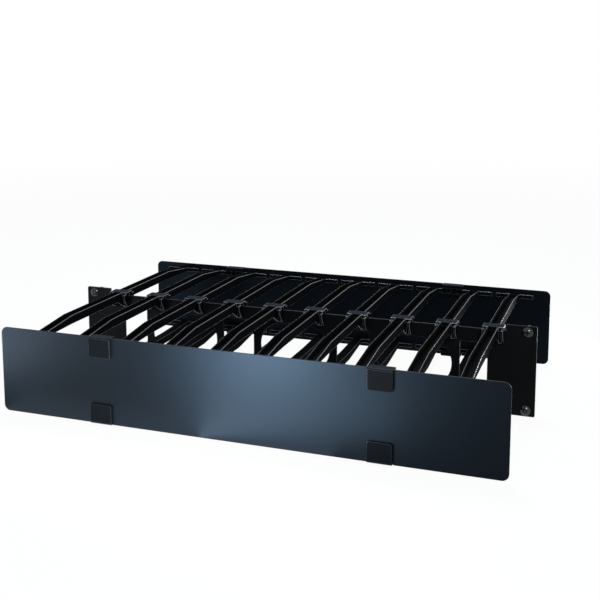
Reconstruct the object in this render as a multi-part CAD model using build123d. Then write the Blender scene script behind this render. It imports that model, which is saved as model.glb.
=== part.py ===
from build123d import *

import os

# Horizontal cable manager for a 19-inch rack, two units high, with cable fingers and a cover on both sides.
# Frame: origin at the centre of the backplate, X along the rack's width, Y from front to rear, Z up.
# All sizes are in millimetres.

# Rack standard
PANEL_WIDTH = 482.6
PANEL_HEIGHT = 88.1
RACK_HOLE_INSET_X = 8.75
RACK_HOLE_INSET_Z = 5.95

# Backplate: two full-height ears, a lower middle part and a band of cable openings
PLATE_T = 2.0
EAR_WIDTH = 28.6
STEP_HEIGHT = 6.05
PLATE_CORNER_R = 1.5
RAIL_HEIGHT = 14.0
BAND_MARGIN = 17.2
WEB_WIDTH = 7.7
OVAL_SHARE = 0.1908
WINDOW_SHARE = 0.087
SCREW_HOLE_CLEARANCE = 0.4

# Cable fingers: moulded channel arms with a seat on the plate and a half-round cross bar at the tip
FINGER_COUNT = 10
FINGER_MARGIN = 12.0
SEAT_WIDTH = 20.0
SEAT_T = 3.0
SEAT_INSET = 2.0
PAD_T = 4.0
PAD_DEPTH = 6.5
PAD_GAP = 0.2
PEG_WIDTH = 3.8
PEG_HEIGHT = 4.4
PEG_CLEARANCE = 0.2
ARM_WIDTH = 10.4
ARM_DEPTH = 8.6
ARM_WALL = 1.8
BEND_REACH = 102.0
HAUNCH_LENGTH = 12.0
GUSSET_T = 2.0
GUSSET_REACH = 6.5
GUSSET_DROP = 2.2
GUSSET_TIP_HEIGHT = 5.0
BAR_R = 2.2
BAR_LENGTH = 40.0
BAR_REACH = 151.0
BAR_DROP = 8.0

# Covers: flat sheets with a notch for each of the clips that snap on the finger bars
COVER_SIDE_INSET = 2.8
COVER_EDGE_INSET = 3.05
COVER_T = 1.5
COVER_CORNER_R = 6.0
COVER_GAP = 2.3
NOTCH_CLEARANCE = 0.3

# Cover clips: a face, a bridge through the cover's notch, flush with its edge, and a jaw round the bar
CLIP_BAY = 3
CLIP_SHIFT = 1.8
CLIP_WIDTH = 22.2
CLIP_FACE_HEIGHT = 19.0
CLIP_FACE_T = 2.2
CLIP_CORNER_R = 2.5
CLIP_CHAMFER = 1.0
CLIP_BRIDGE_T = 2.2
CLIP_FIT = 0.05
CLIP_WALL = 1.6
JAW_CLEARANCE = 0.08
JAW_LIP = 2.2
JAW_FLARE = 0.35

# Rack screws
SCREW_R = 3.0
SCREW_NECK_R = 2.7
SCREW_REACH = 14.0
SCREW_HEAD_R = 5.0
SCREW_HEAD_H = 3.2
SCREW_HEAD_TAPER = 32.0

# Sizes that follow from the ones above
HALF_T = PLATE_T / 2
RACK_HOLE_SPACING_X = PANEL_WIDTH - 2 * RACK_HOLE_INSET_X
RACK_HOLE_SPACING_Z = PANEL_HEIGHT - 2 * RACK_HOLE_INSET_Z
MIDDLE_WIDTH = PANEL_WIDTH - 2 * EAR_WIDTH
BAND_WIDTH = MIDDLE_WIDTH - 2 * BAND_MARGIN
OVAL_WIDTH = OVAL_SHARE * BAND_WIDTH
WINDOW_WIDTH = WINDOW_SHARE * BAND_WIDTH
END_WINDOW_WIDTH = (BAND_WIDTH - 3 * OVAL_WIDTH - 2 * WINDOW_WIDTH) / 2 - 3 * WEB_WIDTH
SCREW_HOLE_R = SCREW_R + SCREW_HOLE_CLEARANCE
FINGER_PITCH = (MIDDLE_WIDTH - 2 * FINGER_MARGIN) / (FINGER_COUNT - 1)
COVER_WIDTH = PANEL_WIDTH - 2 * COVER_SIDE_INSET
COVER_HEIGHT = PANEL_HEIGHT - 2 * COVER_EDGE_INSET
MIDDLE_TOP = PANEL_HEIGHT / 2 - STEP_HEIGHT
OPENING_HEIGHT = 2 * (MIDDLE_TOP - RAIL_HEIGHT)
ARM_TOP = MIDDLE_TOP + PAD_T
ARM_BOTTOM = ARM_TOP - ARM_DEPTH
SEAT_BOTTOM = MIDDLE_TOP - RAIL_HEIGHT + SEAT_INSET
SEAT_FRONT = HALF_T + SEAT_T
PEG_Z = MIDDLE_TOP - RAIL_HEIGHT / 2
BEND_Y = HALF_T + BEND_REACH
BAR_Y = HALF_T + BAR_REACH
BAR_Z = ARM_TOP - BAR_DROP
COVER_INNER_Y = BAR_Y + BAR_R + COVER_GAP
COVER_OUTER_Y = COVER_INNER_Y + COVER_T
COVER_TOP = COVER_HEIGHT / 2
CLIP_X = CLIP_BAY * FINGER_PITCH - CLIP_SHIFT
BRIDGE_BOTTOM = COVER_TOP - CLIP_BRIDGE_T


def block(x0, x1, y0, y1, z0, z1):
    """A rectangular block between two corners."""
    size = (x1 - x0, y1 - y0, z1 - z0)
    return Pos((x0 + x1) / 2, (y0 + y1) / 2, (z0 + z1) / 2) * Box(*size)


def side_extrusion(points, width):
    """A solid with the given outline in Y and Z, centred on X."""
    outline = make_face(Polyline(*points, close=True))
    return extrude(Plane.YZ * outline, width / 2, both=True)


def opening_places():
    """Centre and width of each cable opening on the right of the centre, from the inside out."""
    places = []
    edge = OVAL_WIDTH / 2
    for width in (WINDOW_WIDTH, OVAL_WIDTH, END_WINDOW_WIDTH):
        edge += WEB_WIDTH
        places.append((edge + width / 2, width))
        edge += width
    return places


def cable_openings():
    """The band of openings: round-ended ones and square windows in turn."""
    oval = SlotOverall(OVAL_WIDTH, OPENING_HEIGHT)
    band = Sketch() + oval
    for x, width in opening_places():
        shape = oval if width == OVAL_WIDTH else Rectangle(width, OPENING_HEIGHT)
        band += [Pos(x, 0) * shape, Pos(-x, 0) * shape]
    return band


def finger_places():
    """X of each finger, from left to right."""
    first = -(FINGER_COUNT - 1) / 2 * FINGER_PITCH
    return [first + i * FINGER_PITCH for i in range(FINGER_COUNT)]


def backplate():
    """The punched steel plate that carries the fingers and screws to the rack."""
    outline = RectangleRounded(PANEL_WIDTH, PANEL_HEIGHT, PLATE_CORNER_R)
    step_z = (PANEL_HEIGHT - STEP_HEIGHT) / 2
    for z in (step_z, -step_z):
        outline -= Pos(0, z) * Rectangle(MIDDLE_WIDTH, STEP_HEIGHT)
    outline -= cable_openings()
    peg_hole = Rectangle(2 * (PEG_WIDTH + PEG_CLEARANCE), PEG_HEIGHT + 2 * PEG_CLEARANCE)
    for x in finger_places():
        outline -= [Pos(x, PEG_Z) * peg_hole, Pos(x, -PEG_Z) * peg_hole]
    screw_holes = GridLocations(RACK_HOLE_SPACING_X, RACK_HOLE_SPACING_Z, 2, 2)
    outline -= screw_holes * Circle(SCREW_HOLE_R)
    return extrude(Plane.XZ * outline, HALF_T, both=True)


def finger_arm():
    """The channel arm: open along its top, bent down near the tip, deeper at the root."""
    arm = side_extrusion(
        [
            (HALF_T, SEAT_BOTTOM),
            (HALF_T, ARM_TOP),
            (BEND_Y, ARM_TOP),
            (BAR_Y, BAR_Z + BAR_R),
            (BAR_Y, BAR_Z - BAR_R),
            (BEND_Y, ARM_BOTTOM),
            (SEAT_FRONT + HAUNCH_LENGTH, ARM_BOTTOM),
            (SEAT_FRONT, SEAT_BOTTOM),
        ],
        ARM_WIDTH,
    )
    start = PAD_DEPTH
    end = BAR_Y - BAR_R - ARM_WALL
    above = ARM_TOP + ARM_WALL
    channel = side_extrusion(
        [
            (start, above),
            (start, ARM_BOTTOM + ARM_WALL),
            (BEND_Y, ARM_BOTTOM + ARM_WALL),
            (end, BAR_Z - BAR_R + ARM_WALL),
            (end, above),
        ],
        ARM_WIDTH - 2 * ARM_WALL,
    )
    return arm - channel


def finger_seat():
    """The seat against the plate: a flat back, a pad over the plate's edge, two gussets and a peg."""
    half = SEAT_WIDTH / 2
    seat = block(-half, half, HALF_T, SEAT_FRONT, SEAT_BOTTOM, ARM_TOP)
    seat += block(-half, half, PAD_GAP / 2, PAD_DEPTH, MIDDLE_TOP, ARM_TOP)
    gusset_top = ARM_TOP - GUSSET_DROP
    gusset = side_extrusion(
        [
            (SEAT_FRONT, SEAT_BOTTOM),
            (SEAT_FRONT, gusset_top),
            (SEAT_FRONT + GUSSET_REACH, gusset_top),
            (SEAT_FRONT + GUSSET_REACH, gusset_top - GUSSET_TIP_HEIGHT),
        ],
        GUSSET_T,
    )
    gusset_x = half - GUSSET_T / 2
    seat += [Pos(gusset_x, 0, 0) * gusset, Pos(-gusset_x, 0, 0) * gusset]
    peg_z0 = PEG_Z - PEG_HEIGHT / 2
    return seat + block(PEG_CLEARANCE, PEG_WIDTH, -HALF_T, HALF_T, peg_z0, peg_z0 + PEG_HEIGHT)


def finger_bar():
    """The half-round cross bar at the tip, its round side towards the cover."""
    section = make_face([
        Line((BAR_Y, BAR_Z - BAR_R), (BAR_Y, BAR_Z + BAR_R)),
        ThreePointArc((BAR_Y, BAR_Z + BAR_R), (BAR_Y + BAR_R, BAR_Z), (BAR_Y, BAR_Z - BAR_R)),
    ])
    return extrude(Plane.YZ * section, BAR_LENGTH / 2, both=True)


def finger():
    """One moulded finger, placed as an upper one on the rear side."""
    return finger_arm() + finger_seat() + finger_bar()


def clip():
    """One cover clip, placed as a top one on the rear side."""
    face_y = COVER_OUTER_Y + CLIP_FIT
    front_y = face_y + CLIP_FACE_T
    face_bottom = COVER_TOP - CLIP_FACE_HEIGHT
    back_y = COVER_INNER_Y - CLIP_FIT
    seat_r = BAR_R + JAW_CLEARANCE
    wall_y = BAR_Y + seat_r
    tip_y = BAR_Y - JAW_LIP
    mouth = seat_r + JAW_FLARE
    jaw_half = seat_r + CLIP_WALL
    body = side_extrusion(
        [
            (front_y, face_bottom),
            (front_y, COVER_TOP - CLIP_CHAMFER),
            (front_y - CLIP_CHAMFER, COVER_TOP),
            (tip_y, COVER_TOP),
            (tip_y, BRIDGE_BOTTOM),
            (wall_y, BRIDGE_BOTTOM),
            (wall_y, BAR_Z + jaw_half),
            (tip_y, BAR_Z + jaw_half),
            (tip_y, BAR_Z + mouth),
            (BAR_Y, BAR_Z + seat_r),
            (BAR_Y, BAR_Z - seat_r),
            (tip_y, BAR_Z - mouth),
            (tip_y, BAR_Z - jaw_half),
            (back_y, BAR_Z - jaw_half),
            (back_y, BRIDGE_BOTTOM),
            (face_y, BRIDGE_BOTTOM),
            (face_y, face_bottom),
        ],
        CLIP_WIDTH,
    )
    body -= Pos(0, BAR_Y, BAR_Z) * Rot(0, 90, 0) * Cylinder(seat_r, CLIP_WIDTH)
    face_corners = body.edges().filter_by(Axis.Y).group_by(Axis.Z)[0]
    return fillet(face_corners, CLIP_CORNER_R)


def cover():
    """One cover, placed on the rear side."""
    outline = RectangleRounded(COVER_WIDTH, COVER_HEIGHT, COVER_CORNER_R)
    notch = Rectangle(CLIP_WIDTH + 2 * NOTCH_CLEARANCE, 2 * (CLIP_BRIDGE_T + CLIP_FIT))
    outline -= GridLocations(2 * CLIP_X, COVER_HEIGHT, 2, 2) * notch
    return Pos(0, COVER_INNER_Y, 0) * extrude(Plane.XZ * outline, -COVER_T)


def rack_screw():
    """One screw, its axis on Z and its head up, with the underside of the head at zero."""
    head = extrude(Circle(SCREW_HEAD_R), SCREW_HEAD_H, taper=SCREW_HEAD_TAPER)
    neck = extrude(Circle(SCREW_NECK_R), -PLATE_T)
    thread = Pos(0, 0, -PLATE_T) * extrude(Circle(SCREW_R), -SCREW_REACH)
    return head + neck + thread


def rack_screws():
    """The four rack screws, heads on the front of the ears."""
    places = Plane.XZ * GridLocations(RACK_HOLE_SPACING_X, RACK_HOLE_SPACING_Z, 2, 2)
    screw = Rot(90, 0, 0) * rack_screw()
    return [Pos(0, -HALF_T, 0) * Pos(*place.position) * screw for place in places]


# A rear upper piece turned to each of the four quarters of the manager
QUARTERS = {
    "rear_upper": Rot(0, 0, 0),
    "front_upper": Rot(0, 0, 180),
    "rear_lower": Rot(0, 180, 0),
    "front_lower": Rot(180, 0, 0),
}


def build():
    """Every node of the manager by name."""
    nodes = {"backplate": backplate(), "rack_screws": Compound(rack_screws())}
    one_finger = finger()
    one_clip = clip()
    for quarter, turn in QUARTERS.items():
        for i, x in enumerate(finger_places(), start=1):
            nodes[f"{quarter}_finger_{i:02d}"] = Pos(x, 0, 0) * turn * one_finger
        for side, x in (("left", -CLIP_X), ("right", CLIP_X)):
            nodes[f"{quarter}_clip_{side}"] = Pos(x, 0, 0) * turn * one_clip
    rear = cover()
    nodes["rear_cover"] = rear
    nodes["front_cover"] = Rot(0, 0, 180) * rear
    return nodes


os.makedirs("parts", exist_ok=True)
for name, shape in build().items():
    export_step(shape, f"parts/{name}.step")
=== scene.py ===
"""Looks of a two-unit horizontal cable manager.

A punched plate carries moulded fingers and rack screws, and clips hold a hinged cover on each side.
"""

import logging
import math
from collections.abc import Iterable, Sequence
from dataclasses import dataclass, replace
from enum import Enum

import bmesh
import bpy
from mathutils import Euler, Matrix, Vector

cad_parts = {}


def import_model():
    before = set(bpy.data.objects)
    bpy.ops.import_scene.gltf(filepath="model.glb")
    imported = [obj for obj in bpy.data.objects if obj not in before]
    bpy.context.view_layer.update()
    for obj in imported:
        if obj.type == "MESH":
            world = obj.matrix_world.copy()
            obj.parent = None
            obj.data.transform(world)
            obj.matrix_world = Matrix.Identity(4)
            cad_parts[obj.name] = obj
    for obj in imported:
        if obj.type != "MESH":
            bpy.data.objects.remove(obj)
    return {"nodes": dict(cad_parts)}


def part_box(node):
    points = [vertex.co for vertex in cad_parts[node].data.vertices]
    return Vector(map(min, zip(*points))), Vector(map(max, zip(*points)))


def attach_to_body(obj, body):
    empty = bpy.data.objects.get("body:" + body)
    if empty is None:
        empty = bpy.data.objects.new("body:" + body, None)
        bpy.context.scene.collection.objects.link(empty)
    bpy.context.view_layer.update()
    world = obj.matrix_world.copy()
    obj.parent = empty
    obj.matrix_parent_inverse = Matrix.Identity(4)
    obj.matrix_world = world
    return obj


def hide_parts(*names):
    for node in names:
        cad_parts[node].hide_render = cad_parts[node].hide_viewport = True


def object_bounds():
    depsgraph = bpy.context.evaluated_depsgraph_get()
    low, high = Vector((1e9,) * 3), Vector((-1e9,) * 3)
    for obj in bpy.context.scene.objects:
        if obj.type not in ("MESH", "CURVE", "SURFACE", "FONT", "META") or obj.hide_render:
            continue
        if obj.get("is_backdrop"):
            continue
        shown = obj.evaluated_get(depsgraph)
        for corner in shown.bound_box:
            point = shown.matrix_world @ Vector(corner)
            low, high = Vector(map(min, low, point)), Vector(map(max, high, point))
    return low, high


log = logging.getLogger("cable_manager")

Colour = tuple[float, float, float]
Point = tuple[float, float, float]

MM = 0.001

# Points closer than this become one, and faces that meet flatter than this become one face
WELD = 1e-6
FLAT_ANGLE = math.radians(0.5)

# Edges sharper than these are rounded, count as corners of a finger, or show as a crease
SHARP_ANGLE = math.radians(38.0)
CORNER_ANGLE = math.radians(60.0)
CREASE_ANGLE = math.radians(40.0)

# Steps across a rounded edge, and its fullness
EDGE_STEPS = 3
EDGE_FULLNESS = 0.5

# Material slots of a piece: own finish, painted highlight on rounded edges, painted light on tops
FACE_SLOT = 0
PAINTED_HIGHLIGHT_SLOT = 1
PAINTED_TOP_LIGHT_SLOT = 2

# Turns of lamps and camera in degrees
QUARTER_TURN = 90.0
HALF_TURN = 180.0

COOL_WHITE: Colour = (0.92, 0.96, 1.0)


class Quarter(Enum):
    """A quarter of the manager; its value turns a rear upper piece to that quarter."""

    REAR_UPPER = (0.0, 0.0, 0.0)
    FRONT_UPPER = (0.0, 0.0, math.pi)
    REAR_LOWER = (0.0, math.pi, 0.0)
    FRONT_LOWER = (math.pi, 0.0, 0.0)

    def node(self, ending: str) -> str:
        """The name of a node of this quarter."""
        return f"{self.name.lower()}_{ending}"


class Side(Enum):
    """The front or the rear of the manager; its value holds the upper and the lower quarter."""

    FRONT = (Quarter.FRONT_UPPER, Quarter.FRONT_LOWER)
    REAR = (Quarter.REAR_UPPER, Quarter.REAR_LOWER)

    @property
    def word(self) -> str:
        """The side in lower case, as in node and body names."""
        return self.name.lower()

    def nodes(self, endings: Iterable[str]) -> list[str]:
        """The upper and lower nodes of this side with the given endings."""
        return [quarter.node(ending) for quarter in self.value for ending in endings]


def opaque(colour: Colour) -> tuple[float, float, float, float]:
    """A colour with full opacity."""
    return (*colour, 1.0)


def add_node(tree: bpy.types.NodeTree, kind: str, **values: object) -> bpy.types.Node:
    """Adds a node to a tree.

    Args:
        tree: The tree to add to.
        kind: The node's type name.
        values: Input values by the input's name, with spaces written as underscores.

    Returns:
        The new node.
    """
    node = tree.nodes.new(kind)
    for name, value in values.items():
        node.inputs[name.replace("_", " ")].default_value = value
    return node


@dataclass(frozen=True)
class Finish:
    """A dark, lightly grained surface.

    The colour drifts between two tones over a broad cloud, and a fine grain moves the roughness and
    lifts the surface.
    """

    name: str
    dark: Colour
    light: Colour
    roughness: tuple[float, float]
    specular: float
    cloud_scale: float
    grain_scale: float
    grain_depth: float
    stretch: tuple[float, float, float] = (1.0, 1.0, 1.0)
    tint: Colour = (1.0, 1.0, 1.0)
    cloud_detail: float = 3.0
    cloud_roughness: float = 0.55
    grain_detail: float = 2.0
    grain_roughness: float = 0.6
    grain_span: tuple[float, float] = (0.3, 0.7)

    def material(self) -> bpy.types.Material:
        """Builds the node material, or gives the one built before.

        Returns:
            The material of this finish.
        """
        known = bpy.data.materials.get(self.name)
        if known:
            return known
        material = bpy.data.materials.new(self.name)
        material.use_nodes = True
        tree = material.node_tree
        shader = tree.nodes["Principled BSDF"]
        shader.inputs["Specular IOR Level"].default_value = self.specular
        shader.inputs["Specular Tint"].default_value = opaque(self.tint)
        place = add_node(tree, "ShaderNodeTexCoord").outputs["Object"]
        drawn = add_node(tree, "ShaderNodeMapping", Scale=self.stretch)
        cloud = add_node(
            tree,
            "ShaderNodeTexNoise",
            Scale=self.cloud_scale,
            Detail=self.cloud_detail,
            Roughness=self.cloud_roughness,
        )
        grain = add_node(
            tree,
            "ShaderNodeTexNoise",
            Scale=self.grain_scale,
            Detail=self.grain_detail,
            Roughness=self.grain_roughness,
        )
        tone = add_node(tree, "ShaderNodeMix")
        tone.data_type = "RGBA"
        tone.inputs["A"].default_value = opaque(self.dark)
        tone.inputs["B"].default_value = opaque(self.light)
        valley, peak = self.grain_span
        low, high = self.roughness
        gloss = add_node(
            tree, "ShaderNodeMapRange", From_Min=valley, From_Max=peak, To_Min=low, To_Max=high
        )
        bump = add_node(tree, "ShaderNodeBump", Strength=1.0, Distance=self.grain_depth)
        link = tree.links.new
        link(place, drawn.inputs["Vector"])
        link(drawn.outputs["Vector"], cloud.inputs["Vector"])
        link(place, grain.inputs["Vector"])
        link(cloud.outputs["Fac"], tone.inputs["Factor"])
        link(grain.outputs["Fac"], gloss.inputs["Value"])
        link(grain.outputs["Fac"], bump.inputs["Height"])
        link(tone.outputs["Result"], shader.inputs["Base Color"])
        link(gloss.outputs["Result"], shader.inputs["Roughness"])
        link(bump.outputs["Normal"], shader.inputs["Normal"])
        return material


@dataclass(frozen=True)
class Coat:
    """A piece's face finish, and a lighter edge finish that paints a highlight on its rounded
    edges.
    """

    face: Finish
    edge: Finish

    def apply(self, thing: bpy.types.Object) -> None:
        """Gives an object both finishes, the painted highlight of its rounded edges in the second
        slot.
        """
        for finish in (self.face, self.edge):
            thing.data.materials.append(finish.material())


COVER_PAINT = Coat(
    face=Finish(
        "satin_cover_paint",
        dark=(0.0010, 0.0012, 0.0015),
        light=(0.0018, 0.0021, 0.0026),
        roughness=(0.40, 0.48),
        specular=0.10,
        cloud_scale=9.0,
        grain_scale=1400.0,
        grain_depth=0.00002,
        tint=(0.42, 0.69, 1.0),
    ),
    # Lighter than the sheet: a painted highlight along the sheet's rounded edges
    edge=Finish(
        "cover_edge_painted_highlight",
        dark=(0.004, 0.005, 0.006),
        light=(0.007, 0.008, 0.010),
        roughness=(0.30, 0.38),
        specular=0.12,
        cloud_scale=60.0,
        grain_scale=1800.0,
        grain_depth=0.00001,
    ),
)
PLATE_COAT = Coat(
    face=Finish(
        "plate_powder_coat",
        dark=(0.0016, 0.0019, 0.0024),
        light=(0.0030, 0.0035, 0.0043),
        roughness=(0.52, 0.68),
        specular=0.05,
        cloud_scale=14.0,
        grain_scale=1100.0,
        grain_depth=0.00004,
    ),
    # Lighter than the plate's face: a painted highlight along its punched edges
    edge=Finish(
        "plate_edge_painted_highlight",
        dark=(0.008, 0.010, 0.013),
        light=(0.014, 0.017, 0.022),
        roughness=(0.28, 0.38),
        specular=0.34,
        cloud_scale=70.0,
        grain_scale=1500.0,
        grain_depth=0.00002,
    ),
)
FINGER_PLASTIC = Coat(
    face=Finish(
        "finger_moulded_plastic",
        dark=(0.0012, 0.0014, 0.0017),
        light=(0.0024, 0.0027, 0.0033),
        roughness=(0.70, 0.84),
        specular=0.02,
        cloud_scale=26.0,
        grain_scale=1900.0,
        grain_depth=0.00002,
        stretch=(3.0, 0.5, 3.0),
    ),
    # Far lighter than the finger's face: a painted highlight, the thin lit lines along its edges
    edge=Finish(
        "finger_edge_painted_highlight",
        dark=(0.046, 0.053, 0.062),
        light=(0.070, 0.079, 0.091),
        roughness=(0.24, 0.32),
        specular=1.0,
        cloud_scale=60.0,
        grain_scale=1900.0,
        grain_depth=0.000003,
        stretch=(3.0, 0.5, 3.0),
    ),
)
CLIP_PLASTIC = Coat(
    face=Finish(
        "clip_matte_plastic",
        dark=(0.0010, 0.0015, 0.0021),
        light=(0.0018, 0.0025, 0.0034),
        roughness=(0.58, 0.72),
        specular=0.020,
        cloud_scale=60.0,
        grain_scale=1600.0,
        grain_depth=0.00004,
    ),
    # Lighter than the clip's face: a painted highlight along its rounded edges
    edge=Finish(
        "clip_edge_painted_highlight",
        dark=(0.0040, 0.0044, 0.0050),
        light=(0.0070, 0.0076, 0.0085),
        roughness=(0.32, 0.42),
        specular=0.08,
        cloud_scale=80.0,
        grain_scale=1600.0,
        grain_depth=0.00002,
    ),
)
# Lighter and bluer than the plastic below: painted light on the highest faces of fingers and clips
PAINTED_TOP_LIGHT = Finish(
    "painted_lit_plastic_top",
    dark=(0.010, 0.013, 0.018),
    light=(0.016, 0.020, 0.028),
    roughness=(0.60, 0.72),
    specular=0.02,
    cloud_scale=40.0,
    grain_scale=1900.0,
    grain_depth=0.00002,
)
SCREW_PLATING = Finish(
    "screw_black_plating",
    dark=(0.0040, 0.0046, 0.0050),
    light=(0.0090, 0.0100, 0.0108),
    roughness=(0.10, 0.17),
    specular=0.44,
    cloud_scale=220.0,
    grain_scale=2600.0,
    grain_depth=0.00001,
)


def merged_mesh(node: bpy.types.Object) -> bmesh.types.BMesh:
    """Copies a frame node's mesh with its loose triangles joined into whole faces.

    Args:
        node: The frame node.

    Returns:
        The joined mesh, to be freed by the caller.
    """
    mesh = bmesh.new()
    mesh.from_mesh(node.data)
    bmesh.ops.remove_doubles(mesh, verts=mesh.verts, dist=WELD)
    bmesh.ops.dissolve_limit(mesh, angle_limit=FLAT_ANGLE, verts=mesh.verts, edges=mesh.edges)
    return mesh


def heal(mesh: bmesh.types.BMesh) -> None:
    """Joins points that coincide and drops faces without an area."""
    bmesh.ops.remove_doubles(mesh, verts=mesh.verts, dist=WELD)
    bmesh.ops.dissolve_degenerate(mesh, edges=mesh.edges, dist=WELD)


def paint_top_light(mesh: bmesh.types.BMesh, reach: float = math.inf) -> None:
    """Paints light on the highest faces of a mesh, giving them the painted top light's slot.

    Args:
        mesh: The mesh.
        reach: How far from the plate the faces may lie.
    """
    top = max(vert.co.z for vert in mesh.verts)
    for face in mesh.faces:
        middle = face.calc_center_median()
        if middle.z > top - WELD and middle.y < reach:
            # painted light on the top faces
            face.material_index = PAINTED_TOP_LIGHT_SLOT


def to_object(mesh: bmesh.types.BMesh, name: str) -> bpy.types.Object:
    """Turns an edited mesh into a linked, smooth-shaded object.

    Args:
        mesh: The edited mesh, which is freed.
        name: The name of the object.

    Returns:
        The object.
    """
    data = bpy.data.meshes.new(name)
    mesh.to_mesh(data)
    mesh.free()
    data.shade_smooth()
    thing = bpy.data.objects.new(name, data)
    bpy.context.scene.collection.objects.link(thing)
    return thing


def round_edges(thing: bpy.types.Object, width: float, clamp: bool = True) -> None:
    """Adds a modifier that rounds the object's sharp edges and paints a highlight on the rounded
    faces.

    Args:
        thing: The object.
        width: The width of the rounding in metres.
        clamp: Whether the rounding stays clear of its neighbours on small faces.
    """
    bevel = thing.modifiers.new("rounded_edges", "BEVEL")
    bevel.width = width
    bevel.segments = EDGE_STEPS
    bevel.limit_method = "ANGLE"
    bevel.angle_limit = SHARP_ANGLE
    bevel.use_clamp_overlap = clamp
    # The rounded faces take the lighter edge finish, a painted highlight
    bevel.material = PAINTED_HIGHLIGHT_SLOT


def even_normals(thing: bpy.types.Object) -> None:
    """Adds a modifier that keeps large faces flat beside rounded edges."""
    normals = thing.modifiers.new("even_normals", "WEIGHTED_NORMAL")
    normals.keep_sharp = True


def settled(thing: bpy.types.Object, name: str) -> bpy.types.Object:
    """Replaces an object by a plain mesh of its evaluated shape.

    Args:
        thing: The object with its modifiers, which is removed.
        name: The name of the plain object.

    Returns:
        The plain object.
    """
    graph = bpy.context.evaluated_depsgraph_get()
    data = bpy.data.meshes.new_from_object(thing.evaluated_get(graph), depsgraph=graph)
    bpy.data.objects.remove(thing)
    data.name = name
    plain = bpy.data.objects.new(name, data)
    bpy.context.scene.collection.objects.link(plain)
    return plain


def attach(piece: bpy.types.Object, body: str, nodes: Sequence[str]) -> None:
    """Hangs a piece on a body in place of frame nodes and reports it.

    Args:
        piece: The finished piece.
        body: The body that it moves with.
        nodes: The frame nodes that it stands for.
    """
    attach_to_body(piece, body)
    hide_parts(*nodes)
    log.info("%s: %d faces on %s", piece.name, len(piece.data.polygons), body)


class TurnedRows:
    """A node tree that repeats a piece in an upper and a lower row, each turned to its place."""

    def __init__(self) -> None:
        """Builds the tree with its named inputs."""
        self.tree = bpy.data.node_groups.new("turned_rows", "GeometryNodeTree")
        self.sockets: dict[str, str] = {}
        face = self.tree.interface
        face.new_socket("Geometry", in_out="OUTPUT", socket_type="NodeSocketGeometry")
        for name, kind in (
            ("Piece", "NodeSocketGeometry"),
            ("Count", "NodeSocketInt"),
            ("First", "NodeSocketVector"),
            ("Spacing", "NodeSocketVector"),
            ("Upper Turn", "NodeSocketRotation"),
            ("Lower Turn", "NodeSocketRotation"),
            ("Finish", "NodeSocketMaterial"),
        ):
            socket = face.new_socket(name, in_out="INPUT", socket_type=kind)
            self.sockets[name] = socket.identifier
        self._connect()

    def _connect(self) -> None:
        """Adds the nodes of the tree and links them."""
        tree, link = self.tree, self.tree.links.new
        given = add_node(tree, "NodeGroupInput").outputs
        line = add_node(tree, "GeometryNodeMeshLine")
        joined = add_node(tree, "GeometryNodeJoinGeometry")
        link(given["Count"], line.inputs["Count"])
        link(given["First"], line.inputs["Start Location"])
        link(given["Spacing"], line.inputs["Offset"])
        for turn in ("Upper Turn", "Lower Turn"):
            turned = add_node(tree, "GeometryNodeTransform")
            row = add_node(tree, "GeometryNodeInstanceOnPoints")
            link(given["Piece"], turned.inputs["Geometry"])
            link(given[turn], turned.inputs["Rotation"])
            link(line.outputs["Mesh"], row.inputs["Points"])
            link(turned.outputs["Geometry"], row.inputs["Instance"])
            link(row.outputs["Instances"], joined.inputs["Geometry"])
        real = add_node(tree, "GeometryNodeRealizeInstances")
        slot = add_node(tree, "GeometryNodeInputMaterialIndex")
        faces = add_node(tree, "FunctionNodeBooleanMath")
        faces.operation = "NOT"
        dressed = add_node(tree, "GeometryNodeSetMaterial")
        result = add_node(tree, "NodeGroupOutput")
        link(joined.outputs["Geometry"], real.inputs["Geometry"])
        link(real.outputs["Geometry"], dressed.inputs["Geometry"])
        link(slot.outputs["Material Index"], faces.inputs[0])
        link(faces.outputs["Boolean"], dressed.inputs["Selection"])
        link(given["Finish"], dressed.inputs["Material"])
        link(dressed.outputs["Geometry"], result.inputs["Geometry"])

    def lay(
        self,
        piece: bpy.types.Object,
        name: str,
        places: Sequence[float],
        turns: tuple[Quarter, Quarter],
        finish: Finish,
    ) -> bpy.types.Object:
        """Repeats a piece over both rows.

        Args:
            piece: The piece as a rear upper one at the middle of the manager, which is used up.
            name: The name of the result.
            places: The X of each piece of a row, evenly spaced.
            turns: The quarters of the upper and the lower row.
            finish: The finish of every piece's faces.

        Returns:
            One plain mesh of all pieces.
        """
        modifier = piece.modifiers.new("turned_rows", "NODES")
        modifier.node_group = self.tree
        values = {
            "Count": len(places),
            "First": (places[0], 0.0, 0.0),
            "Spacing": (places[1] - places[0], 0.0, 0.0),
            "Upper Turn": turns[0].value,
            "Lower Turn": turns[1].value,
            "Finish": finish.material(),
        }
        for key, value in values.items():
            modifier[self.sockets[key]] = value
        even_normals(piece)
        return settled(piece, name)


def middle_x(node: str) -> float:
    """The X of the middle of a frame node."""
    low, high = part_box(node)
    return (low.x + high.x) / 2


@dataclass
class Backplate:
    """The punched steel plate with its rack ears."""

    nodes: dict[str, bpy.types.Object]
    edge: float = 0.22 * MM

    def build(self) -> bpy.types.Object:
        """Makes the plate with its punched edges broken and a highlight painted on them.

        Returns:
            The plate as a plain mesh, held to the plate's own height.
        """
        plate = to_object(merged_mesh(self.nodes["backplate"]), "backplate_shape")
        PLATE_COAT.apply(plate)
        round_edges(plate, self.edge, clamp=False)
        even_normals(plate)
        plain = settled(plate, "punched_backplate")
        low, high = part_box("backplate")
        for vert in plain.data.vertices:
            vert.co.z = min(max(vert.co.z, low.z), high.z)
        return plain

    def dress(self, plate: bpy.types.Object) -> None:
        """Hangs the plate on the frame."""
        attach(plate, "frame", ["backplate"])


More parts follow.
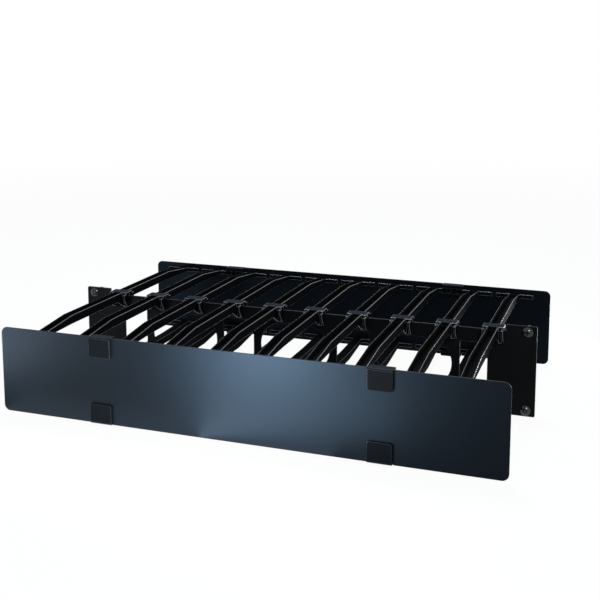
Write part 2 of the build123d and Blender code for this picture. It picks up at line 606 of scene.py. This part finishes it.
@dataclass
class Fingers:
    """The upper and lower row of moulded fingers on one side."""

    nodes: dict[str, bpy.types.Object]
    side: Side
    count: int = 10
    edge: float = 0.40 * MM
    channel_half_width: float = 4.3 * MM
    pad_reach: float = 6.5 * MM
    bar_end: float = 1.1 * MM
    bar_back: float = 1.2 * MM
    web_reach: float = 11.5 * MM
    web_thickness: float = 1.5 * MM
    web_half_width: float = 3.5 * MM
    web_bottom: float = 35.0 * MM
    web_top: float = 40.4 * MM

    def endings(self) -> list[str]:
        """The ends of the node names in one row."""
        return [f"finger_{i:02d}" for i in range(1, self.count + 1)]

    def shape(self) -> bpy.types.Object:
        """Makes one finger, with painted highlights on its edges, a rounded bar and a web across
        its channel.

        Returns:
            A rear upper finger at the middle of the manager.
        """
        pattern = Quarter.REAR_UPPER.node(self.endings()[0])
        mesh = merged_mesh(self.nodes[pattern])
        bmesh.ops.translate(mesh, verts=mesh.verts, vec=(-middle_x(pattern), 0.0, 0.0))
        reach = max(vert.co.x for vert in mesh.verts)

        def at_end(vert: bmesh.types.BMVert) -> bool:
            """Whether a point lies on an end of the bar."""
            return abs(vert.co.x) > reach - WELD

        bar_back = min(vert.co.y for vert in mesh.verts if at_end(vert))
        long_edges = [
            edge
            for edge in mesh.edges
            if at_end(edge.verts[0]) != at_end(edge.verts[1]) and self.is_corner(edge)
        ]
        self.soften(mesh, long_edges, self.bar_back)
        end_edges = [edge for edge in mesh.edges if all(map(at_end, edge.verts))]
        self.soften(mesh, end_edges, self.bar_end)
        self.mark_pad(mesh)
        self.add_web(mesh)
        arm_edges = [
            edge
            for edge in mesh.edges
            if self.is_corner(edge) and min(vert.co.y for vert in edge.verts) < bar_back - WELD
        ]
        self.soften(mesh, arm_edges, self.edge, clamp=False)
        self.clear_channel_highlight(mesh, bar_back)
        finger = to_object(mesh, "finger_shape")
        FINGER_PLASTIC.apply(finger)
        # The third slot paints light on the pad's top
        finger.data.materials.append(PAINTED_TOP_LIGHT.material())
        return finger

    def mark_pad(self, mesh: bmesh.types.BMesh) -> None:
        """Parts the pad's top from the arm's and paints light on it through its own slot.

        Args:
            mesh: The finger's mesh.
        """
        bmesh.ops.bisect_plane(
            mesh,
            geom=[*mesh.verts, *mesh.edges, *mesh.faces],
            plane_co=(0.0, self.pad_reach, 0.0),
            plane_no=(0.0, 1.0, 0.0),
        )
        heal(mesh)
        paint_top_light(mesh, self.pad_reach)

    def clear_channel_highlight(self, mesh: bmesh.types.BMesh, end: float) -> None:
        """Leaves the edges inside the channel without the painted highlight, in the faces' finish.

        Args:
            mesh: The finger's mesh.
            end: The Y at which the channel ends.
        """
        for face in mesh.faces:
            middle = face.calc_center_median()
            inside = abs(middle.x) < self.channel_half_width and middle.y < end
            if inside and face.material_index == PAINTED_HIGHLIGHT_SLOT:
                face.material_index = FACE_SLOT

    def add_web(self, mesh: bmesh.types.BMesh) -> None:
        """Adds the web that stiffens the channel near the seat.

        Args:
            mesh: The finger's mesh.
        """
        web = bmesh.ops.create_cube(mesh, size=1.0)["verts"]
        size = (2 * self.web_half_width, self.web_thickness, self.web_top - self.web_bottom)
        bmesh.ops.scale(mesh, verts=web, vec=size)
        place = (0.0, self.web_reach + self.web_thickness / 2, (self.web_top + self.web_bottom) / 2)
        bmesh.ops.translate(mesh, verts=web, vec=place)

    @staticmethod
    def is_corner(edge: bmesh.types.BMEdge) -> bool:
        """Whether the two faces at an edge meet nearly at a right angle."""
        return len(edge.link_faces) == 2 and edge.calc_face_angle() > CORNER_ANGLE

    @staticmethod
    def soften(
        mesh: bmesh.types.BMesh,
        edges: Sequence[bmesh.types.BMEdge],
        width: float,
        clamp: bool = True,
    ) -> None:
        """Rounds some edges of a mesh and paints a highlight on the rounded faces.

        Args:
            mesh: The mesh.
            edges: The edges to round.
            width: The width of the rounding.
            clamp: Whether the rounding stays clear of its neighbours on small faces.
        """
        bmesh.ops.bevel(
            mesh,
            geom=edges,
            offset=width,
            segments=EDGE_STEPS,
            profile=EDGE_FULLNESS,
            affect="EDGES",
            clamp_overlap=clamp,
            # The rounded faces take the lighter edge finish, a painted highlight
            material=PAINTED_HIGHLIGHT_SLOT,
        )
        heal(mesh)

    def build(self, rows: TurnedRows) -> bpy.types.Object:
        """Repeats the finger over both rows of this side.

        Args:
            rows: The tree that repeats it.

        Returns:
            All fingers of this side as one mesh.
        """
        places = [middle_x(Quarter.REAR_UPPER.node(ending)) for ending in self.endings()]
        name = f"{self.side.word}_fingers"
        return rows.lay(self.shape(), name, places, self.side.value, FINGER_PLASTIC.face)

    def dress(self, fingers: bpy.types.Object) -> None:
        """Hangs the fingers on the frame."""
        attach(fingers, "frame", self.side.nodes(self.endings()))


@dataclass
class HingedCover:
    """One cover with its four clips, which swings on the finger bars."""

    nodes: dict[str, bpy.types.Object]
    side: Side
    sheet_edge: float = 0.35 * MM
    clip_edge: float = 0.45 * MM
    clip_endings: tuple[str, str] = ("clip_left", "clip_right")

    @property
    def body(self) -> str:
        """The body that the cover and its clips move with."""
        return f"{self.side.word}_cover_set"

    def build_sheet(self) -> bpy.types.Object:
        """Makes the flat sheet with its edges broken and a highlight painted on them.

        Returns:
            The sheet as a plain mesh.
        """
        sheet = to_object(merged_mesh(self.nodes[f"{self.side.word}_cover"]), "cover_shape")
        COVER_PAINT.apply(sheet)
        round_edges(sheet, self.sheet_edge)
        even_normals(sheet)
        return settled(sheet, f"{self.side.word}_cover_sheet")

    def build_clips(self, rows: TurnedRows) -> bpy.types.Object:
        """Makes the upper and lower clips, with light painted on their tops and a highlight on
        their edges.

        Args:
            rows: The tree that repeats a clip.

        Returns:
            The cover's four clips as one mesh.
        """
        names = [Quarter.REAR_UPPER.node(ending) for ending in self.clip_endings]
        mesh = merged_mesh(self.nodes[names[0]])
        bmesh.ops.translate(mesh, verts=mesh.verts, vec=(-middle_x(names[0]), 0.0, 0.0))
        # Light painted on the clip's top faces
        paint_top_light(mesh)
        clip = to_object(mesh, "clip_shape")
        CLIP_PLASTIC.apply(clip)
        clip.data.materials.append(PAINTED_TOP_LIGHT.material())
        round_edges(clip, self.clip_edge)
        places = [middle_x(name) for name in names]
        return rows.lay(
            clip, f"{self.side.word}_clips", places, self.side.value, CLIP_PLASTIC.face
        )

    def dress(self, sheet: bpy.types.Object, clips: bpy.types.Object) -> None:
        """Hangs the sheet and the clips on the cover's body."""
        attach(sheet, self.body, [f"{self.side.word}_cover"])
        attach(clips, self.body, self.side.nodes(self.clip_endings))


@dataclass
class RackScrews:
    """The four screws in the ears: domed heads with a cross recess, and threaded shanks.

    The bevel below a head's rim is given in shares of the rim, and the flank and the crest of a
    thread in shares of its pitch.
    """

    nodes: dict[str, bpy.types.Object]
    head_rim: float = 0.7 * MM
    rim_inset: float = 0.25
    rim_rise: float = 0.35
    neck_radius: float = 2.7 * MM
    thread_radius: float = 3.0 * MM
    thread_depth: float = 0.38 * MM
    thread_pitch: float = 1.0 * MM
    thread_start: float = 0.25
    thread_rise: float = 0.35
    thread_crest: float = 0.5
    recess_length: float = 4.6 * MM
    recess_width: float = 0.95 * MM
    recess_depth: float = 1.5 * MM
    around: int = 40
    crown_rings: int = 7

    def head(self, radius: float, height: float) -> bpy.types.Object:
        """Makes a domed head with a cross recess, standing on zero.

        Args:
            radius: The head's radius.
            height: The head's height.

        Returns:
            The head with the recess cut.
        """
        rise = height - self.head_rim
        ball = (radius**2 + rise**2) / (2 * rise)
        widest = math.asin(radius / ball)
        profile = [
            (0.0, 0.0),
            (radius - self.rim_inset * self.head_rim, 0.0),
            (radius, self.rim_rise * self.head_rim),
        ]
        for ring in range(self.crown_rings + 1):
            angle = widest * (1 - ring / self.crown_rings)
            profile.append((ball * math.sin(angle), height - ball * (1 - math.cos(angle))))
        head = to_object(self.lathe(profile), "head_shape")
        cutter = self.cross(height)
        cut = head.modifiers.new("recess", "BOOLEAN")
        cut.object = cutter
        cut.solver = "EXACT"
        cut.use_self = True
        carved = settled(head, "carved_head")
        bpy.data.objects.remove(cutter)
        return carved

    def cross(self, height: float) -> bpy.types.Object:
        """Makes the cross whose lower half is cut into a head.

        Args:
            height: The height of the head's crown.

        Returns:
            The cross, its middle at the crown.
        """
        mesh = bmesh.new()
        length, width, depth = self.recess_length, self.recess_width, 2 * self.recess_depth
        for size in ((length, width, depth), (width, length, depth)):
            arm = bmesh.ops.create_cube(mesh, size=1.0)["verts"]
            bmesh.ops.scale(mesh, verts=arm, vec=size)
            bmesh.ops.translate(mesh, verts=arm, vec=(0.0, 0.0, height))
        return to_object(mesh, "recess_cutter")

    def lathe(self, profile: Sequence[tuple[float, float]]) -> bmesh.types.BMesh:
        """Turns a profile of radius and height about Z into a closed mesh.

        Args:
            profile: Points from the lower pole to the upper pole.

        Returns:
            The turned mesh.
        """
        mesh = bmesh.new()
        verts = [mesh.verts.new((radius, 0.0, height)) for radius, height in profile]
        edges = [mesh.edges.new(pair) for pair in zip(verts, verts[1:])]
        bmesh.ops.spin(
            mesh,
            geom=verts + edges,
            cent=(0, 0, 0),
            axis=(0, 0, 1),
            angle=2 * math.pi,
            steps=self.around,
        )
        bmesh.ops.remove_doubles(mesh, verts=mesh.verts, dist=WELD)
        bmesh.ops.recalc_face_normals(mesh, faces=mesh.faces)
        return mesh

    def shank(self, grip: float, length: float) -> bmesh.types.BMesh:
        """Makes the neck and the threaded shank below zero.

        Args:
            grip: The length of the plain neck.
            length: The threaded length.

        Returns:
            The turned mesh.
        """
        radius, pitch = self.thread_radius, self.thread_pitch
        root = radius - self.thread_depth
        profile = [(0.0, -grip - length), (root - self.thread_depth, -grip - length)]
        for turn in range(round(length / pitch)):
            low = -grip - length + (turn + self.thread_start) * pitch
            profile += [
                (root, low),
                (radius, low + self.thread_rise * pitch),
                (radius, low + self.thread_crest * pitch),
            ]
        profile += [(root, -grip), (self.neck_radius, -grip), (self.neck_radius, 0.0), (0.0, 0.0)]
        return self.lathe(profile)

    def build(self, rows: TurnedRows) -> bpy.types.Object:
        """Makes one screw to the size of the solid ones and repeats it over the four corners.

        Args:
            rows: The tree that repeats it.

        Returns:
            The four screws as one mesh.
        """
        low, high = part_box("rack_screws")
        plate_low, plate_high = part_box("backplate")
        radius = self.head_radius()
        head = self.head(radius, plate_low.y - low.y)
        mesh = self.shank(plate_high.y - plate_low.y, high.y - plate_high.y)
        mesh.from_mesh(head.data)
        heal(mesh)
        bpy.data.objects.remove(head)
        forward = Euler((math.pi / 2, 0.0, 0.0)).to_matrix()
        bmesh.ops.rotate(mesh, verts=mesh.verts, matrix=forward)
        bmesh.ops.translate(mesh, verts=mesh.verts, vec=(0.0, plate_low.y, high.z - radius))
        screw = to_object(mesh, "screw_shape")
        screw.data.materials.append(SCREW_PLATING.material())
        screw.data.set_sharp_from_angle(angle=CREASE_ANGLE)
        places = [low.x + radius, high.x - radius]
        return rows.lay(screw, "rack_screw_set", places, Side.REAR.value, SCREW_PLATING)

    def head_radius(self) -> float:
        """The radius of the solid heads, read from those in the right ear."""
        xs = [vert.co.x for vert in self.nodes["rack_screws"].data.vertices if vert.co.x > 0.0]
        return (max(xs) - min(xs)) / 2

    def dress(self, screws: bpy.types.Object) -> None:
        """Hangs the screws on the frame."""
        attach(screws, "frame", ["rack_screws"])


@dataclass(frozen=True)
class Lamp:
    """A soft rectangular lamp."""

    name: str
    place: Point
    turn: Point
    size: tuple[float, float]
    watts: float
    colour: Colour

    def opposite(self) -> "Lamp":
        """Turns the lamp half round the manager.

        Returns:
            The same lamp on the other side.
        """
        across, along, up = self.place
        tip, roll, swing = self.turn
        return replace(
            self,
            name=f"rear_{self.name}",
            place=(-across, -along, up),
            turn=(tip, roll, swing + HALF_TURN),
        )

    def light(self) -> None:
        """Adds the lamp to the scene; the camera doesn't see it."""
        data = bpy.data.lights.new(self.name, "AREA")
        data.shape = "RECTANGLE"
        data.size, data.size_y = self.size
        data.energy = self.watts
        data.color = self.colour
        lamp = bpy.data.objects.new(self.name, data)
        lamp.location = self.place
        lamp.rotation_euler = [math.radians(angle) for angle in self.turn]
        lamp.visible_camera = False
        bpy.context.scene.collection.objects.link(lamp)


@dataclass
class Studio:
    """The camera, the lamps, the pale floor and the white surround."""

    camera_place: Point = (0.3291, -0.9087, 0.2973)
    camera_yaw: float = 19.60
    camera_pitch: float = 8.09
    focal_pixels: float = 976.5
    frame_pixels: float = 600.0
    sensor: float = 36.0
    shift: float = -0.18
    floor_size: float = 8.0
    floor_matte: Colour = (0.85, 0.86, 0.88)
    floor_glow: tuple[float, float] = (0.94, 1.0)
    floor_fade: tuple[float, float] = (0.40, 2.6)
    white: Colour = (1.0, 1.0, 1.0)
    white_strength: float = 1.0
    ambience: Colour = (0.62, 0.72, 0.86)
    ambience_strength: float = 0.16
    lamps: tuple[Lamp, ...] = (
        Lamp(
            "overhead_softbox",
            place=(-0.25, 0.35, 1.25),
            turn=(19.0, 0.0, 215.5),
            size=(0.55, 0.55),
            watts=14.0,
            colour=(0.84, 0.92, 1.0),
        ),
        Lamp(
            "front_softbox",
            place=(0.75, -1.10, 0.95),
            turn=(54.5, 0.0, 34.3),
            size=(0.50, 0.50),
            watts=16.0,
            colour=COOL_WHITE,
        ),
    )
    reflectors: tuple[Lamp, ...] = (
        Lamp(
            "near_reflector",
            place=(0.033, -0.241, -0.037),
            turn=(175.3, 0.0, -22.2),
            size=(0.185, 0.102),
            watts=0.76,
            colour=COOL_WHITE,
        ),
        Lamp(
            "left_reflector",
            place=(-0.360, -0.297, -0.005),
            turn=(151.4, 0.0, -57.3),
            size=(0.113, 0.150),
            watts=1.13,
            colour=COOL_WHITE,
        ),
        Lamp(
            "far_reflector",
            place=(-0.050, -0.386, -0.013),
            turn=(145.6, 0.0, -16.5),
            size=(0.110, 0.100),
            watts=4.0,
            colour=COOL_WHITE,
        ),
        Lamp(
            "foot_reflector",
            place=(-0.075, -0.176, -0.041),
            turn=(180.0, 0.0, 0.0),
            size=(0.330, 0.036),
            watts=0.12,
            colour=COOL_WHITE,
        ),
    )

    def camera(self) -> None:
        """Sets up the camera, to the right of the front cover and a little above it."""
        data = bpy.data.cameras.new("camera")
        data.sensor_width = self.sensor
        data.lens = self.focal_pixels / self.frame_pixels * self.sensor
        data.shift_y = self.shift
        camera = bpy.data.objects.new("camera", data)
        camera.location = self.camera_place
        tip = QUARTER_TURN - self.camera_pitch
        camera.rotation_euler = (math.radians(tip), 0.0, math.radians(self.camera_yaw))
        bpy.context.scene.collection.objects.link(camera)
        bpy.context.scene.camera = camera

    @staticmethod
    def seen_rays(tree: bpy.types.NodeTree) -> bpy.types.NodeSocket:
        """Tells the rays that show the background from those that only light the manager.

        Args:
            tree: The node tree to add to.

        Returns:
            A socket that is one for camera, glossy and transmission rays.
        """
        path = add_node(tree, "ShaderNodeLightPath")
        total = path.outputs["Is Camera Ray"]
        for name in ("Is Glossy Ray", "Is Transmission Ray"):
            most = add_node(tree, "ShaderNodeMath")
            most.operation = "MAXIMUM"
            tree.links.new(total, most.inputs[0])
            tree.links.new(path.outputs[name], most.inputs[1])
            total = most.outputs[0]
        return total

    def surround(self) -> None:
        """Makes a white surround that lights the manager softly."""
        world = bpy.data.worlds.new("surround")
        world.use_nodes = True
        tree = world.node_tree
        tree.nodes.clear()
        soft = add_node(
            tree,
            "ShaderNodeBackground",
            Color=opaque(self.ambience),
            Strength=self.ambience_strength,
        )
        shown = add_node(
            tree, "ShaderNodeBackground", Color=opaque(self.white), Strength=self.white_strength
        )
        mix = add_node(tree, "ShaderNodeMixShader")
        output = add_node(tree, "ShaderNodeOutputWorld")
        tree.links.new(self.seen_rays(tree), mix.inputs[0])
        tree.links.new(soft.outputs[0], mix.inputs[1])
        tree.links.new(shown.outputs[0], mix.inputs[2])
        tree.links.new(mix.outputs[0], output.inputs["Surface"])
        bpy.context.scene.world = world

    def floor_material(self) -> bpy.types.Material:
        """Makes the floor, matte under a soft shadow near the manager and white further off.

        Returns:
            The floor's material.
        """
        material = bpy.data.materials.new("pale_floor")
        material.use_nodes = True
        tree = material.node_tree
        tree.nodes.clear()
        matte = add_node(tree, "ShaderNodeBsdfDiffuse", Color=opaque(self.floor_matte))
        glow = add_node(
            tree, "ShaderNodeEmission", Color=opaque(self.white), Strength=self.white_strength
        )
        away = add_node(tree, "ShaderNodeVectorMath")
        away.operation = "LENGTH"
        near, far = self.floor_fade
        dim, full = self.floor_glow
        share = add_node(
            tree, "ShaderNodeMapRange", From_Min=near, From_Max=far, To_Min=dim, To_Max=full
        )
        share.interpolation_type = "SMOOTHSTEP"
        seen = add_node(tree, "ShaderNodeMath")
        seen.operation = "MULTIPLY"
        mix = add_node(tree, "ShaderNodeMixShader")
        output = add_node(tree, "ShaderNodeOutputMaterial")
        link = tree.links.new
        link(add_node(tree, "ShaderNodeTexCoord").outputs["Object"], away.inputs[0])
        link(away.outputs["Value"], share.inputs["Value"])
        link(share.outputs["Result"], seen.inputs[0])
        link(self.seen_rays(tree), seen.inputs[1])
        link(seen.outputs[0], mix.inputs[0])
        link(matte.outputs[0], mix.inputs[1])
        link(glow.outputs[0], mix.inputs[2])
        link(mix.outputs[0], output.inputs["Surface"])
        return material

    def floor(self, level: float) -> None:
        """Lays the pale floor under the manager.

        Args:
            level: The height of the floor.
        """
        mesh = bmesh.new()
        bmesh.ops.create_grid(mesh, x_segments=1, y_segments=1, size=self.floor_size / 2)
        bmesh.ops.translate(mesh, verts=mesh.verts, vec=(0.0, 0.0, level))
        floor = to_object(mesh, "floor")
        floor.data.materials.append(self.floor_material())
        floor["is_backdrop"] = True

    def build(self, level: float) -> None:
        """Sets the whole studio up round the manager.

        Args:
            level: The height at which the manager stands.
        """
        self.camera()
        for lamp in self.lamps:
            lamp.light()
        for reflector in self.reflectors:
            reflector.light()
            reflector.opposite().light()
        self.surround()
        self.floor(level)
        bpy.context.scene.view_settings.view_transform = "Standard"
        log.info("studio: floor at %.4f m", level)


def main() -> None:
    """Builds the manager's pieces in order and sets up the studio."""
    logging.basicConfig(level=logging.INFO, format="%(name)s %(message)s")
    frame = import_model()
    solid_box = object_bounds()
    nodes = frame["nodes"]
    rows = TurnedRows()
    backplate = Backplate(nodes)
    backplate.dress(backplate.build())
    for side in Side:
        fingers = Fingers(nodes, side)
        fingers.dress(fingers.build(rows))
        cover = HingedCover(nodes, side)
        cover.dress(cover.build_sheet(), cover.build_clips(rows))
    screws = RackScrews(nodes)
    screws.dress(screws.build(rows))
    Studio().build(solid_box[0].z)


if __name__ == "__main__":
    main()
